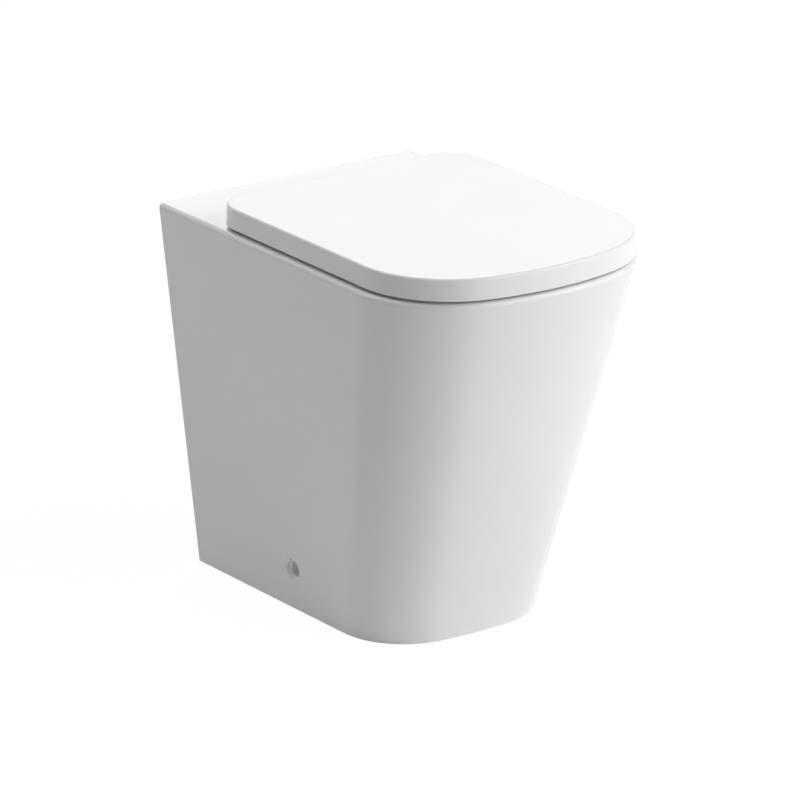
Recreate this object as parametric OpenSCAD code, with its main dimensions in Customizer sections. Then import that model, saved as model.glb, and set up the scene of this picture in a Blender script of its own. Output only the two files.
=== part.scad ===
// Back to wall toilet with a wrap-over soft-close seat.
// Millimetres. X to the right, +Y to the wall, +Z up. Origin on the floor, under the middle of the pan.

/* [Pan rim] */
// Height of the rim above the floor
rim_h = 450; // [400:5:480]
// Width of the pan at the back of the rim
rim_w = 355; // [345:1:370]
// How far the rim reaches from the wall
rim_d = 524; // [515:1:540]
// Radius of the rim's front corners, seen from above
rim_corner_r = 125; // [110:1:140]
// Radius of the shallow arc across the front of the rim
rim_front_r = 350; // [300:5:450]
// Angle by which each side of the rim opens towards the front
rim_flare = 0.3; // [0:0.1:1]
// Rounding of the rim's outer edge
rim_edge_r = 11; // [6:0.5:14]

/* [Pan foot] */
// Width of the foot at the wall
foot_w = 260; // [240:1:300]
// How far the foot reaches from the wall
foot_d = 377; // [340:1:420]
// Radius of the foot's front corners
foot_corner_r = 84; // [70:1:100]
// Radius of the shallow arc across the front of the foot
foot_front_r = 450; // [350:5:600]
// Angle by which each side of the foot closes towards the front
foot_taper = 1; // [0:0.1:3]

/* [Ceramic] */
// Thickness of the skirt
skirt_t = 11; // [9:0.5:14]
// Thickness of the skirt where it stands on the floor
foot_t = 17; // [12:0.5:24]
// Thickness of the deck and rim
deck_t = 14; // [12:0.5:18]
// Thickness of the bowl
bowl_t = 9; // [8:0.5:12]

/* [Bowl] */
// Width of the bowl's mouth
mouth_w = 262; // [230:1:270]
// Length of the bowl's mouth
mouth_l = 308; // [290:1:315]
// Distance from the front of the rim to the mouth
mouth_inset = 42; // [38:1:50]
// Height of the bottom of the sump
sump_z = 84; // [80:1:100]
// Width of the flat bottom of the sump
sump_w = 56; // [40:1:70]
// Length of the flat bottom of the sump
sump_l = 66; // [50:1:80]

/* [Trap and outlet] */
// Height of the outlet's centre
outlet_z = 185; // [180:1:190]
// Radius of the waterway
waterway_r = 36; // [32:0.5:38]
// Outside radius of the outlet spigot
spigot_r = 51; // [50:0.5:55]
// Length of the outlet spigot
spigot_l = 34; // [30:1:36]
// Distance from the wall to the end of the spigot
spigot_gap = 37; // [30:1:60]
// Height of the lowest line of the waterway over the weir
weir_z = 209; // [205:1:215]
// Depth of the water seal
seal_depth = 50; // [45:1:60]

/* [Flush inlet] */
// Height of the inlet's centre
inlet_z = 338; // [325:1:345]
// Radius of the inlet's bore
inlet_r = 27.5; // [25:0.5:30]
// Length of the inlet's wide bore
inlet_l = 48; // [40:1:60]
// Distance from the wall to the inlet's mouth
inlet_gap = 40; // [30:1:60]
// Radius of the water passage from the inlet to the bowl
inlet_passage_r = 20; // [16:0.5:22]

/* [Side fixing] */
// Distance from the wall to the side hole
side_hole_from_wall = 200; // [180:1:220]
// Height of the side hole
side_hole_z = 51; // [45:1:60]
// Radius of the side hole
side_hole_r = 12; // [10:0.5:14]
// Depth of the cover cap's face below the skirt
cap_recess = 3.5; // [2:0.5:5]

/* [Lid] */
// Width of the lid
lid_w = 347; // [340:1:350]
// Length of the lid
lid_l = 423; // [415:1:425]
// Height of the lid's slab
lid_h = 24; // [22:0.5:30]
// Gap between the rim and the closed lid
lid_gap = 4.5; // [3:0.5:6]
// Radius of the lid's front corners
lid_corner_r = 117; // [110:1:125]
// Radius of the lid's rear corners
lid_rear_r = 44; // [30:1:60]
// Thickness of the lid's top
lid_top_t = 3; // [2.5:0.1:3.5]
// Thickness of the lid's skirt
lid_skirt_t = 3.5; // [3:0.1:4.5]
// Rounding of the lid's upper edge
lid_edge_r = 2; // [1:0.25:3]

/* [Seat] */
// Gap between the rim and the underside of the seat
seat_gap = 5; // [4.5:0.5:7]
// Thickness of the seat
seat_t = 17; // [14:0.5:17.5]
// Clearance round the seat inside the lid's skirt
seat_clearance = 1.5; // [1:0.1:3]
// Width of the seat's opening
seat_hole_w = 216; // [200:1:230]
// Length of the seat's opening
seat_hole_l = 276; // [260:1:285]
// Width of the seat's front rail
seat_front_rail = 62; // [55:1:70]

/* [Hinges] */
// Distance between the two fixing holes
hinge_spacing = 155; // [150:1:160]
// Height of the hinge axis above the deck
axis_h = 16; // [15.5:0.1:16.5]
// Distance from the lid's rear edge to the hinge axis
axis_from_rear = 10.4; // [9.5:0.1:10.5]
// Distance from the hinge axis forward to the post
post_from_axis = 19; // [18:0.5:21]
// Width of a hinge block
block_w = 31; // [29:0.5:33]
// Radius of the pivot pins and rotors
pivot_r = 4; // [3.5:0.1:4.5]
// Radius of a damper cartridge
damper_r = 6.5; // [6:0.1:6.5]
// Radius of a hinge post
post_r = 7; // [6.5:0.1:7]
// Radius of the hole for the stud in the deck
deck_hole_r = 7.5; // [7:0.5:9]

/* [Hidden] */
$fn = 48;

// Places along Y
wall_y = rim_d / 2;
front_y = -rim_d / 2;
lid_rear_y = front_y + lid_l;
axis_y = lid_rear_y - axis_from_rear;
post_y = axis_y - post_from_axis;
spigot_end_y = wall_y - spigot_gap;
inlet_mouth_y = wall_y - inlet_gap;
side_hole_y = wall_y - side_hole_from_wall;

// Places along Z
axis_z = rim_h + axis_h;
lid_bottom_z = rim_h + lid_gap;
lid_top_z = lid_bottom_z + lid_h;
lid_ceiling_z = lid_top_z - lid_top_t;
seat_bottom_z = rim_h + seat_gap;
seat_top_z = seat_bottom_z + seat_t;

// Small working values
running = 0.05;
slip = 0.2;
layer = 0.6;
past = 1;
arc_steps = 14;
colour_ceramic = "#F4F4F2";
colour_plastic = "#F7F7F6";
colour_rubber = "#4A4A4C";
colour_steel = "#C9CBCE";
colour_nylon = "#E4E4E0";

// ---- Plan outlines: [half width, taper, rear y, depth, corner radius, front radius, rear radius] ----

rim_plan = [rim_w / 2, -rim_flare, wall_y, rim_d, rim_corner_r, rim_front_r, 0];
foot_plan = [foot_w / 2, foot_taper, wall_y, foot_d, foot_corner_r, foot_front_r, 0];
lid_plan = [lid_w / 2, 0, lid_rear_y, lid_l, lid_corner_r, rim_front_r, lid_rear_r];

// The same outline drawn in on every side
function inset(plan, t) = [
  plan[0] - t, plan[1], plan[2] - t, plan[3] - 2 * t,
  plan[4] - t, plan[5] - t, max(plan[6] - t, 0)
];

// The same outline drawn in at the sides and front, with its back moved by back
function inset_front(plan, t, back = 0) = [
  plan[0] - t, plan[1], plan[2] + back, plan[3] + back - t, plan[4] - t, plan[5] - t, 0
];

// Outline of the casting at a height, along the ruled taper from foot to rim
function pan_plan(z) = foot_plan + (rim_plan - foot_plan) * z / (rim_h - rim_edge_r);

// Points along an arc, from the point numbered first
function arc(centre, r, from, to, steps, first = 0) = [
  for (i = [first:steps]) let (a = from + (to - from) * i / steps) centre + r * [cos(a), sin(a)]
];

// Centre of the corner arc that touches the straight side and the shallow front arc
function corner_centre(plan) =
  let (
    inward = [-cos(plan[1]), sin(plan[1])],
    forward = [-sin(plan[1]), -cos(plan[1])],
    start = [plan[0], plan[2]] + plan[4] * inward,
    from_front = start - [0, plan[2] - plan[3] + plan[5]],
    b = from_front * forward,
    c = from_front * from_front - pow(plan[5] - plan[4], 2)
  )
  start + (sqrt(b * b - c) - b) * forward;

// The right half of an outline, from the back to the front
function half_outline(plan, steps) =
  let (
    corner = corner_centre(plan),
    front = [0, plan[2] - plan[3] + plan[5]],
    join = corner - front,
    join_angle = atan2(join[1], join[0]),
    rear = [plan[0] - plan[6], plan[2] - plan[6]]
  )
  concat(
    plan[6] > 0 ? arc(rear, plan[6], 90, 0, round(steps / 2)) : [[plan[0], plan[2]]],
    arc(corner, plan[4], -plan[1], join_angle, steps),
    arc(front, plan[5], join_angle, -90, round(steps / 2), 1)
  );

function mirrored(points) = [for (i = [len(points) - 1:-1:0]) [-points[i][0], points[i][1]]];

module outline(plan, steps = arc_steps) {
  half = half_outline(plan, steps);
  polygon(concat(half, mirrored([for (p = half) if (p[0] > 0.01) p])));
}

// A thin layer of an outline, used as one rung of a loft
module rung(plan, z) {
  translate([0, 0, z]) linear_extrude(layer) outline(plan);
}

// A rounded rectangle whose sides bulge, by the superellipse formula
module bulged(half_w, half_l, power, steps = 56) {
  polygon([
    for (i = [0:steps - 1])
      let (a = 360 * i / steps, c = cos(a), s = sin(a))
      [half_w * sign(c) * pow(abs(c), 2 / power), half_l * sign(s) * pow(abs(s), 2 / power)]
  ]);
}

module at_both_sides() {
  children();
  mirror([1, 0, 0]) children();
}

// ---- Pan ----

// Outside of the casting: a ruled taper from foot to rim, closed by the rounded rim edge
module pan_body() {
  hull() {
    rung(foot_plan, 0);
    for (a = [0:18:90])
      rung(
        inset_front(rim_plan, rim_edge_r * (1 - cos(a))),
        rim_h - layer - rim_edge_r * (1 - sin(a))
      );
  }
}

// Hollow of the skirt, open at the back and at the floor
module skirt_hollow() {
  foot_band = 30;
  top_z = rim_h - deck_t;
  hull() {
    rung(inset_front(pan_plan(0), foot_t, past), -past);
    rung(inset_front(pan_plan(foot_band), skirt_t, past), foot_band);
    rung(inset_front(pan_plan(top_z), skirt_t, past), top_z - layer);
  }
}

// Trapway: up over the weir and down to the outlet, as three bends of one pipe
fall_r = 47;
straight_l = 30;
dip_z = weir_z - seal_depth;
trap_entry_z = dip_z - waterway_r;
crest_z = weir_z + waterway_r;
rise_r = (crest_z - trap_entry_z) / 2;
fall_angle = acos(1 - (crest_z - outlet_z) / (rise_r + fall_r));
fall_end_y = spigot_end_y - straight_l;
trap_entry_y = fall_end_y - 2 * rise_r - (rise_r + fall_r) * sin(fall_angle);
crest_y = trap_entry_y + 2 * rise_r;

// Stations of the waterway's centre line, as [y, z, heading above the horizontal]
bend_steps = 7;
function trap_line(start_y, end_y) = concat(
  [[start_y, trap_entry_z, 0]],
  [for (i = [0:bend_steps]) let (a = 90 * i / bend_steps)
    [trap_entry_y + rise_r * sin(a), trap_entry_z + rise_r * (1 - cos(a)), a]],
  [for (i = [1:bend_steps * 2]) let (a = 90 - (90 + fall_angle) * i / bend_steps / 2)
    [crest_y - rise_r * sin(a), trap_entry_z + rise_r * (1 + cos(a)), a]],
  [for (i = [1:bend_steps]) let (a = -fall_angle * (1 - i / bend_steps))
    [fall_end_y + fall_r * sin(a), outlet_z + fall_r * (1 - cos(a)), a]],
  [[end_y, outlet_z, 0]]
);

// Pipe of many flat sides swept along those stations
module trapway(r, start_y, end_y) {
  sides = 24;
  line = trap_line(start_y, end_y);
  rings = len(line);
  polyhedron(
    points = [
      for (p = line, k = [0:sides - 1])
        let (a = 360 * k / sides, up = r * sin(a))
        [r * cos(a), p[0] - up * sin(p[2]), p[1] + up * cos(p[2])]
    ],
    faces = concat(
      [[for (k = [sides - 1:-1:0]) k]],
      [
        for (i = [0:rings - 2], k = [0:sides - 1], half = [0, 1])
          let (next = (k + 1) % sides, low = i * sides, high = low + sides)
          half == 0 ? [low + k, low + next, high + next] : [low + k, high + next, high + k]
      ],
      [[for (k = [0:sides - 1]) (rings - 1) * sides + k]]
    )
  );
}

module pipe_along_y(y0, y1, z, r) {
  translate([0, y0, z]) rotate([-90, 0, 0]) cylinder(h = y1 - y0, r = r);
}

// Bowl sections, from the sump at 0 to the mouth at 1
mouth_front = front_y + mouth_inset;
mouth_rear = mouth_front + mouth_l;
tongue_t = 8;
sump_rear = trap_entry_y - tongue_t;
sump_bend = 0.1;
sump_bend_depth = 20;
front_belly = 10;
sump_front = sump_rear - sump_bend_depth - sump_l;
bowl_levels = [0, 0.03, 0.1, 0.22, 0.4, 0.62, 0.82, 1];

// How far a section has widened towards the mouth
function swell(t) = pow(sin(90 * pow(t, 0.8)), 0.9);
function bowl_rear(t) =
  t < sump_bend
  ? sump_rear - sump_bend_depth * pow(1 - t / sump_bend, 2)
  : mouth_rear - (mouth_rear - sump_rear) * (1 - t) / (1 - sump_bend);
function bowl_front(t) = sump_front + (mouth_front - sump_front) * t - front_belly * sin(180 * t);
function bowl_half_w(t) = (sump_w + (mouth_w - sump_w) * swell(t)) / 2;
function bowl_power(t) = 2.1 + 0.9 * t;

module bowl_loft(wall, top_z) {
  low = sump_z - wall;
  hull() for (t = bowl_levels) {
    half_l = (bowl_rear(t) - bowl_front(t)) / 2 + wall;
    translate([0, (bowl_rear(t) + bowl_front(t)) / 2, low + (top_z - layer - low) * t])
      linear_extrude(layer) bulged(bowl_half_w(t) + wall, half_l, bowl_power(t));
  }
}

// Chamfer that opens the mouth onto the rim
module mouth_chamfer() {
  chamfer = 4;
  hull() for (i = [0, 1]) {
    translate([0, (mouth_rear + mouth_front) / 2, rim_h - chamfer * (1 - i)])
      linear_extrude(i == 0 ? layer : past)
        bulged(mouth_w / 2 + chamfer * i, mouth_l / 2 + chamfer * i, bowl_power(1));
  }
}

// The waterway widens at the end of the spigot
module outlet_mouth() {
  mouth_l = 14;
  mouth_r = spigot_r - 8;
  translate([0, spigot_end_y - mouth_l, outlet_z]) rotate([-90, 0, 0])
    cylinder(h = mouth_l + past, r1 = waterway_r - 0.5, r2 = mouth_r);
}

module deck_hole() {
  translate([hinge_spacing / 2, post_y, rim_h - deck_t - 2 * past])
    cylinder(h = deck_t + 4 * past, r = deck_hole_r);
}

// Half width of the skirt's outside at the side hole
side_plan = pan_plan(side_hole_z);
side_face_x = side_plan[0] - side_hole_from_wall * tan(side_plan[1]);
side_boss_t = 22;

module side_hole() {
  translate([side_face_x - side_boss_t - 2 * past, side_hole_y, side_hole_z])
    rotate([0, 90, 0]) cylinder(h = side_boss_t + 12, r = side_hole_r);
}

// Pad cast inside the skirt round the side hole
module side_boss() {
  translate([side_face_x - side_boss_t, side_hole_y, side_hole_z])
    rotate([0, 90, 0]) cylinder(h = side_boss_t - skirt_t / 2, r = side_hole_r + 10);
}

// Web that ties the trapway to the skirt and carries the spigot
module rear_web() {
  web_t = 12;
  web_y = spigot_end_y - spigot_l - web_t;
  web_half_w = foot_w / 2 + 6;
  translate([-web_half_w, web_y, outlet_z - spigot_r - 8]) cube([2 * web_half_w, web_t, 34]);
}

module pan() {
  color(colour_ceramic) difference() {
    union() {
      difference() {
        pan_body();
        skirt_hollow();
      }
      bowl_loft(bowl_t, rim_h - deck_t / 2);
      trapway(waterway_r + bowl_t, trap_entry_y - 20, spigot_end_y - 6);
      pipe_along_y(spigot_end_y - spigot_l, spigot_end_y, outlet_z, spigot_r);
      pipe_along_y(mouth_rear - 24, inlet_mouth_y, inlet_z, inlet_passage_r + bowl_t);
      pipe_along_y(inlet_mouth_y - inlet_l - bowl_t, inlet_mouth_y, inlet_z, inlet_r + bowl_t);
      rear_web();
      at_both_sides() side_boss();
    }
    bowl_loft(0, rim_h + past);
    mouth_chamfer();
    trapway(waterway_r, trap_entry_y - 30, spigot_end_y - 4);
    outlet_mouth();
    pipe_along_y(mouth_rear - 60, inlet_mouth_y, inlet_z, inlet_passage_r);
    pipe_along_y(inlet_mouth_y - inlet_l, inlet_mouth_y + past, inlet_z, inlet_r);
    at_both_sides() deck_hole();
    at_both_sides() side_hole();
  }
}

// ---- Side fixings, drawn for the right side ----

bracket_t = 5;
bracket_foot_l = 34;
bracket_w = 36;
bracket_hole_r = 4;
bracket_face_x = side_face_x - side_boss_t - 2;
side_screw_r = 3;

// Angle that stands on the floor inside the skirt
module floor_bracket() {
  color(colour_nylon) difference() {
    union() {
      translate([bracket_face_x - bracket_t, side_hole_y - bracket_w / 2, 0])
        cube([bracket_t, bracket_w, side_hole_z + bracket_w / 2]);
      translate([bracket_face_x - bracket_foot_l, side_hole_y - bracket_w / 2, 0])
        cube([bracket_foot_l, bracket_w, bracket_t]);
      // Gussets and the boss that the screw bites into
      for (s = [-1, 1])
        translate([bracket_face_x - bracket_t, side_hole_y + s * (bracket_w / 2 - 2), bracket_t])
          rotate([90, 0, 0]) linear_extrude(4, center = true)
            polygon([[0.5, -0.5], [-24, -0.5], [0.5, 34]]);
      translate([bracket_face_x - bracket_t - 9, side_hole_y, side_hole_z])
        rotate([0, 90, 0]) cylinder(h = 10, r = 8);
    }
    translate([bracket_face_x - 24, side_hole_y, -past]) cylinder(h = bracket_t + 2 * past, r = bracket_hole_r);
    translate([bracket_face_x - bracket_t - 20, side_hole_y, side_hole_z])
      rotate([0, 90, 0]) cylinder(h = 40, r = side_screw_r + running);
  }
}

cap_front_x = side_face_x - cap_recess;
cap_t = 3;
cap_spigot_l = 5;
sleeve_x = side_face_x - side_boss_t;
sleeve_floor_t = 3;
sleeve_r = side_hole_r - slip;
sleeve_wall = 2;
screw_head_t = 4;
screw_head_r = 6;

// Horizontal screw with a round head
module side_screw() {
  color(colour_steel) difference() {
    union() {
      translate([bracket_face_x - bracket_t - 12, side_hole_y, side_hole_z])
        rotate([0, 90, 0])
          cylinder(h = sleeve_x + sleeve_floor_t - bracket_face_x + bracket_t + 13, r = side_screw_r);
      translate([sleeve_x + sleeve_floor_t, side_hole_y, side_hole_z])
        rotate([0, 90, 0]) cylinder(h = screw_head_t, r1 = screw_head_r, r2 = screw_head_r - 1);
    }
    // Hexagon socket
    translate([sleeve_x + sleeve_floor_t + screw_head_t - 2.4, side_hole_y, side_hole_z])
      rotate([0, 90, 0]) cylinder(h = 4, r = 2.6, $fn = 6);
  }
}

// Plastic cup that lines the hole in the ceramic and takes the screw's pull
module side_sleeve() {
  sleeve_l = cap_front_x - cap_t - sleeve_x;
  color(colour_nylon) translate([sleeve_x, side_hole_y, side_hole_z]) rotate([0, 90, 0])
    difference() {
      cylinder(h = sleeve_l, r = sleeve_r);
      translate([0, 0, sleeve_floor_t]) cylinder(h = sleeve_l, r = sleeve_r - sleeve_wall);
      translate([0, 0, -past]) cylinder(h = sleeve_floor_t + 2 * past, r = side_screw_r + slip);
    }
}

// Push-in cap with a softened edge
module cover_cap() {
  edge = 1;
  spigot_wall = 1.3;
  spigot_outer_r = sleeve_r - sleeve_wall - running;
  color(colour_plastic) translate([cap_front_x - cap_t, side_hole_y, side_hole_z]) rotate([0, 90, 0])
    difference() {
      union() {
        cylinder(h = cap_t - edge, r = sleeve_r);
        translate([0, 0, cap_t - edge]) cylinder(h = edge, r1 = sleeve_r, r2 = sleeve_r - edge);
        translate([0, 0, -cap_spigot_l]) cylinder(h = cap_spigot_l + edge, r = spigot_outer_r);
      }
      translate([0, 0, -cap_spigot_l - past])
        cylinder(h = cap_spigot_l + past, r = spigot_outer_r - spigot_wall);
    }
}

// ---- Seat fixings through the deck, drawn for the right side ----

gasket_t = 1;
plate_t = 1.5;
plate_r = 15;
stud_r = 3;
stud_l = 52;
block_bottom_z = rim_h + gasket_t + plate_t;
post_top_z = block_bottom_z + 16;
groove_z = block_bottom_z + 7.5;
groove_h = 2.2;
groove_r = post_r - 1.6;

module at_post(z) {
  translate([hinge_spacing / 2, post_y, z]) children();
}

// Turned post with a groove for the clip, and the stud under it
module hinge_post() {
  shoulder = 1.5;
  color(colour_steel) at_post(0) {
    translate([0, 0, rim_h - stud_l + gasket_t + plate_t]) cylinder(h = stud_l + past, r = stud_r);
    rotate_extrude() polygon([
      [0, block_bottom_z], [post_r, block_bottom_z], [post_r, groove_z],
      [groove_r, groove_z], [groove_r, groove_z + groove_h], [post_r, groove_z + groove_h],
      [post_r, post_top_z - shoulder], [post_r - shoulder, post_top_z], [0, post_top_z]
    ]);
  }
}

module post_plate() {
  color(colour_steel) at_post(rim_h + gasket_t) difference() {
    rotate_extrude() polygon([[0, 0], [plate_r, 0], [plate_r, plate_t - 0.6], [plate_r - 0.6, plate_t], [0, plate_t]]);
    translate([0, 0, -past]) cylinder(h = plate_t + 2 * past, r = stud_r + running);
  }
}

module post_gasket() {
  color(colour_rubber) at_post(rim_h) difference() {
    cylinder(h = gasket_t, r = plate_r - 0.5);
    translate([0, 0, -past]) cylinder(h = gasket_t + 2 * past, r = stud_r + running);
  }
}

sleeve_flange_t = 5;
deck_sleeve_bottom_z = rim_h - deck_t - sleeve_flange_t;

// Rubber sleeve that swells in the deck hole as the nut pulls up
module deck_sleeve() {
  bore_r = stud_r + running;
  color(colour_rubber) at_post(0) rotate_extrude() polygon([
    [bore_r, deck_sleeve_bottom_z], [11, deck_sleeve_bottom_z], [11, rim_h - deck_t],
    [deck_hole_r - slip, rim_h - deck_t], [deck_hole_r - slip, rim_h - 6],
    [deck_hole_r - slip - 1, rim_h - 2], [bore_r, rim_h - 2]
  ]);
}

module wing_nut() {
  hub_h = 12;
  hub_z = deck_sleeve_bottom_z - hub_h;
  wing_l = 21;
  color(colour_nylon) at_post(hub_z) difference() {
    union() {
      cylinder(h = hub_h, r = 9);
      translate([0, 0, hub_h - 2.5]) cylinder(h = 2.5, r = 11.5);
      for (turn = [0, 180]) rotate([0, 0, turn + 20]) hull() {
        translate([5, -1.6, 0]) cube([1, 3.2, hub_h - 1]);
        translate([wing_l - 2, -1.2, -5]) cube([1, 2.4, 11]);
      }
    }
    translate([0, 0, -8]) cylinder(h = hub_h + 10, r = stud_r + running);
  }
}

// ---- Hinge blocks, drawn for the right side ----

block_inner_x = (hinge_spacing - block_w) / 2;
block_outer_x = (hinge_spacing + block_w) / 2;
block_top_z = axis_z + 8.5;
block_rear_r = 8.5;
block_front_y = axis_y - 34;
lug_w = 9;
lug_gap = 0.4;
lug_r = 8;
button_r = 4.5;
button_travel = 2.5;
button_z = block_bottom_z + 8.6;
button_head_t = 3.5;
clip_wire_r = 0.8;
clip_leg_y = groove_r + clip_wire_r + 0.15;
clip_z = groove_z + groove_h / 2;

module along_x(x0, x1, y, z, r) {
  translate([x0, y, z]) rotate([0, 90, 0]) cylinder(h = x1 - x0, r = r);
}

// Side view of the block, as [y, z]
module block_profile() {
  rear = axis_y + 8;
  crown = 5;
  hull() {
    translate([axis_y, axis_z]) circle(r = block_rear_r, $fn = 48);
    translate([block_front_y + crown, block_top_z - crown]) circle(r = crown, $fn = 32);
    translate([block_front_y, block_bottom_z]) square([rear - block_front_y, 1]);
  }
}

module hinge_block() {
  color(colour_plastic) difference() {
    translate([block_inner_x, 0, 0]) rotate([90, 0, 90]) linear_extrude(block_w) block_profile();
    // Bore for the damper, with a smaller mouth at each end
    along_x(block_inner_x + 2, block_outer_x - 2, axis_y, axis_z, damper_r + running);
    along_x(block_inner_x - past, block_outer_x + past, axis_y, axis_z, pivot_r + 0.3);
    // Socket for the post
    at_post(block_bottom_z - past) cylinder(h = post_top_z - block_bottom_z + past + 0.5, r = post_r + running);
    // Slot for the clip
    translate([hinge_spacing / 2 - 10.5, post_y - clip_leg_y - 1.5, groove_z - 0.2])
      cube([20, 2 * clip_leg_y + 3, groove_h + 0.4]);
    // Bore for the button
    along_x(block_inner_x - past, block_inner_x + button_head_t + button_travel + 0.6, post_y, button_z, button_r + running);
  }
}

// Damper cartridge. One end carries a plain pin, and the other takes the rotor.
// pin_side is 1 where the pin is on the outer side of the block, and -1 on the inner side.
rotor_depth = 14;
rotor_flat = 0.9;
rotor_end_gap = 0.6;

module damper(pin_side) {
  color(colour_nylon) translate([hinge_spacing / 2, axis_y, axis_z]) rotate([0, 90, 0])
    mirror([0, 0, pin_side > 0 ? 0 : 1]) difference() {
      union() {
        translate([0, 0, -block_w / 2 + 2.2]) cylinder(h = block_w - 4.4, r = damper_r);
        cylinder(h = block_w / 2 + lug_gap + lug_w - rotor_end_gap, r = pivot_r);
      }
      translate([0, 0, -block_w / 2]) cylinder(h = rotor_depth, r = pivot_r + running);
    }
}

// Shaft with two flats that turns with the seat or the lid, from its free end
module rotor() {
  keyed_l = lug_gap + lug_w - rotor_end_gap;
  color(colour_steel) difference() {
    along_x(0, keyed_l + rotor_depth - 0.5, axis_y, axis_z, pivot_r);
    for (s = [0, 1])
      translate([-past, axis_y - pivot_r, axis_z])
        mirror([0, 0, s]) translate([0, 0, pivot_r - rotor_flat])
          cube([keyed_l + past, 2 * pivot_r, 2 * rotor_flat]);
  }
}

// Bore of a lug that is keyed to the rotor's flats
module keyed_bore(x0, x1) {
  key_gap = 0.02;
  difference() {
    along_x(x0, x1, axis_y, axis_z, pivot_r + key_gap);
    for (s = [0, 1])
      translate([x0 - past, axis_y - 2 * pivot_r, axis_z])
        mirror([0, 0, s]) translate([0, 0, pivot_r - rotor_flat + key_gap])
          cube([x1 - x0 + 2 * past, 4 * pivot_r, 2 * rotor_flat]);
  }
}

// Sprung wire: a bend and two legs that lie in the post's groove
module latch_clip() {
  leg_l = 14;
  bend_x = hinge_spacing / 2 - 3;
  color(colour_steel) translate([bend_x, post_y, clip_z]) {
    rotate([0, 0, 90]) rotate_extrude(angle = 180) translate([clip_leg_y, 0]) circle(r = clip_wire_r, $fn = 24);
    for (s = [-1, 1])
      translate([0, s * clip_leg_y, 0]) rotate([0, 90, 0]) cylinder(h = leg_l - 4, r = clip_wire_r, $fn = 24);
  }
}

// Button: a round head flush with the block, with a stem that spreads the clip
module release_button() {
  head_l = button_head_t - 0.2;
  stem_end_x = hinge_spacing / 2 - 3 - clip_leg_y - clip_wire_r - 0.2;
  color(colour_nylon) {
    along_x(block_inner_x, block_inner_x + head_l, post_y, button_z, button_r);
    translate([block_inner_x + head_l - 0.5, post_y - 2.5, button_z - 0.8])
      cube([stem_end_x - block_inner_x - head_l + 0.5, 5, 1.6]);
  }
}

// ---- Seat ----

lug_inner_x0 = block_inner_x - lug_gap - lug_w;
lug_inner_x1 = block_inner_x - lug_gap;
lug_outer_x0 = block_outer_x + lug_gap;
lug_outer_x1 = block_outer_x + lug_gap + lug_w;
notch_x0 = lug_inner_x0 - 1.2;
notch_x1 = lug_outer_x1 + 1.2;
seat_inset = lid_skirt_t + seat_clearance;
seat_rear_y = axis_y - 13.5;
seat_plan = let (p = inset(lid_plan, seat_inset)) [p[0], p[1], seat_rear_y, p[3] - (p[2] - seat_rear_y), p[4], p[5], 34];
seat_hole_front = front_y + seat_inset + seat_front_rail;
seat_hole_y = seat_hole_front + seat_hole_l / 2;
seat_edge = 3;

module seat_ring() {
  difference() {
    hull() {
      rung(inset(seat_plan, 1), seat_bottom_z);
      rung(seat_plan, seat_bottom_z + 1);
      for (a = [0:30:90])
        rung(inset(seat_plan, seat_edge * (1 - cos(a))), seat_top_z - layer - seat_edge * (1 - sin(a)));
    }
    translate([0, seat_hole_y, seat_bottom_z - past]) linear_extrude(seat_t + 2 * past)
      bulged(seat_hole_w / 2, seat_hole_l / 2, 2.7);
    // The top falls gently into the opening
    hull() for (i = [0, 1]) {
      translate([0, seat_hole_y, seat_top_z - 4 * (1 - i)]) linear_extrude(i == 0 ? layer : past)
        bulged(seat_hole_w / 2 + 26 * i, seat_hole_l / 2 + 26 * i, 2.7);
    }
  }
}

// Side view of a seat lug, as [y, z]
module seat_lug_profile() {
  hull() {
    translate([axis_y, axis_z]) circle(r = lug_r, $fn = 48);
    translate([seat_rear_y - 12, seat_bottom_z + 2]) square([4, seat_t - 5]);
  }
}

module seat() {
  color(colour_plastic) difference() {
    union() {
      seat_ring();
      at_both_sides()
        translate([lug_outer_x0, 0, 0]) rotate([90, 0, 90]) linear_extrude(lug_w) seat_lug_profile();
    }
    // Pockets round the hinge blocks
    at_both_sides()
      translate([block_inner_x - 0.8, block_front_y - 1.2, seat_bottom_z - past])
        cube([block_outer_x + lug_gap - block_inner_x + 0.8, 60, seat_t + 2 * past]);
    // The rotor turns the lug on the right, and the lug on the left turns on a plain pin
    keyed_bore(lug_outer_x0 - past, lug_outer_x1 + past);
    mirror([1, 0, 0]) along_x(lug_outer_x0 - past, lug_outer_x1 + past, axis_y, axis_z, pivot_r + running);
  }
}

buffer_r = 9;

// Four buffers that carry the seat on the rim
module seat_buffers() {
  color(colour_nylon) at_both_sides() for (place = [[143, -150], [140, 60]])
    translate([place[0], place[1], rim_h]) cylinder(h = seat_gap, r = buffer_r);
}

// ---- Lid ----

module lid_shell() {
  draft = 0.85;
  difference() {
    hull() {
      rung(lid_plan, lid_bottom_z);
      for (a = [0:30:90])
        rung(inset(lid_plan, draft + lid_edge_r * (1 - cos(a))), lid_top_z - layer - lid_edge_r * (1 - sin(a)));
    }
    hull() {
      rung(inset(lid_plan, lid_skirt_t), lid_bottom_z - past);
      rung(inset(lid_plan, lid_skirt_t + draft), lid_ceiling_z - layer);
    }
  }
}

// Side view of a lid lug, as [y, z]
module lid_lug_profile() {
  translate([axis_y, axis_z]) circle(r = lug_r, $fn = 48);
  translate([axis_y - lug_r, axis_z]) square([2 * lug_r, lid_ceiling_z + 0.5 - axis_z]);
}

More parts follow.
